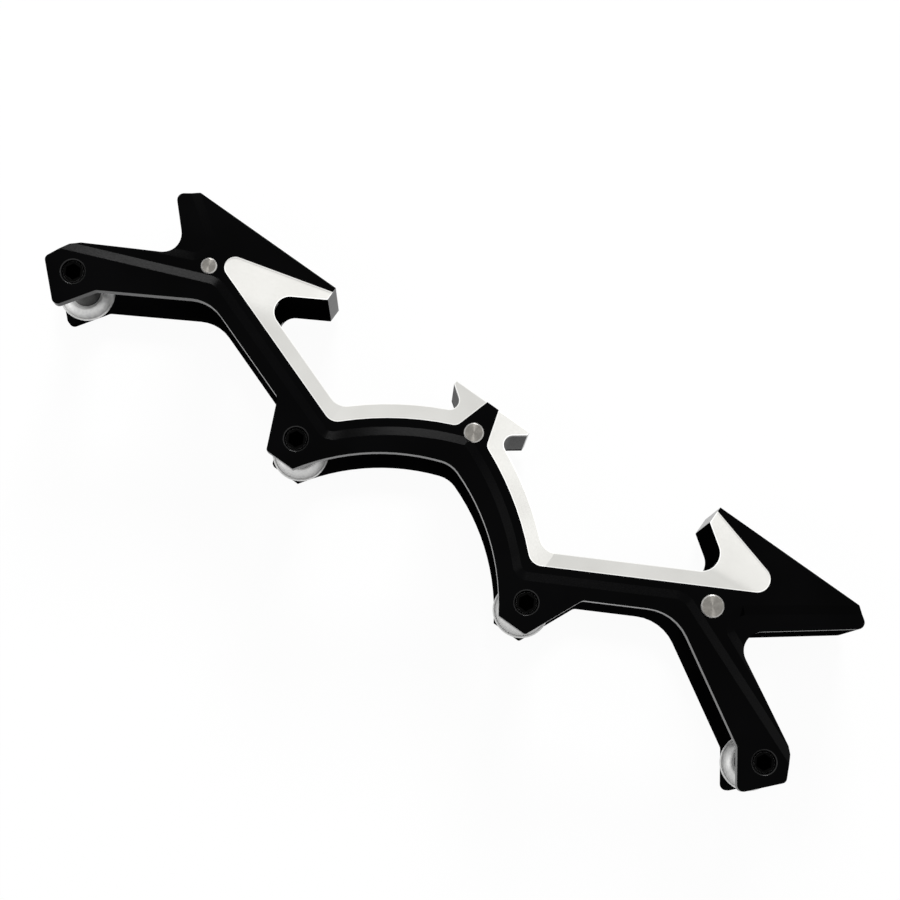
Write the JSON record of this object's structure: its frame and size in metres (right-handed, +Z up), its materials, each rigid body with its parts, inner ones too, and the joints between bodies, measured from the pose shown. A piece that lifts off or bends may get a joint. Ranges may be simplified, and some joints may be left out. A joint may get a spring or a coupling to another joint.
{
  "type": "inline skate frame",
  "caption": "Machined aluminium frame for an inline skate: two rails with a pointed arch joined by bridge blocks, stepped toe and heel decks, and draw-out axles.",
  "frame": {"origin": "under the middle of the wheelbase, at the height of the lowest lugs, midway between the rails", "axes": "+X from toe to heel, +Y from the left rail to the right rail, +Z up to the boot"},
  "size_m": [0.2475, 0.036, 0.0601],
  "materials": {
    "rail_black": "black anodised, satin, with bright cut panels",
    "block_black": "black anodised, satin",
    "pin_bright": "turned, bright",
    "axle_black": "blackened",
    "cone_bright": "turned, bright"
  },
  "bodies": {
    "frame": {"left_rail": "rail_black", "right_rail": "rail_black", "toe_block": "block_black", "centre_block": "block_black", "heel_block": "block_black", "toe_pin_left": "pin_bright", "toe_pin_right": "pin_bright", "centre_pin_left": "pin_bright", "centre_pin_right": "pin_bright", "heel_pin_left": "pin_bright", "heel_pin_right": "pin_bright", "cone_1_left": "cone_bright", "cone_1_right": "cone_bright", "cone_2_left": "cone_bright", "cone_2_right": "cone_bright", "cone_3_left": "cone_bright", "cone_3_right": "cone_bright", "cone_4_left": "cone_bright", "cone_4_right": "cone_bright"},
    "axle_body_1": {"axle_1": "axle_black"},
    "axle_body_2": {"axle_2": "axle_black"},
    "axle_body_3": {"axle_3": "axle_black"},
    "axle_body_4": {"axle_4": "axle_black"}
  },
  "joints": [
    {"name": "axle_1_draw", "type": "slide", "parent": "frame", "child": "axle_body_1", "axis": [0, 1, 0], "range_m": [0, 0.045]},
    {"name": "axle_2_draw", "type": "slide", "parent": "frame", "child": "axle_body_2", "axis": [0, 1, 0], "range_m": [0, 0.045]},
    {"name": "axle_3_draw", "type": "slide", "parent": "frame", "child": "axle_body_3", "axis": [0, 1, 0], "range_m": [0, 0.045]},
    {"name": "axle_4_draw", "type": "slide", "parent": "frame", "child": "axle_body_4", "axis": [0, 1, 0], "range_m": [0, 0.045]}
  ]
}
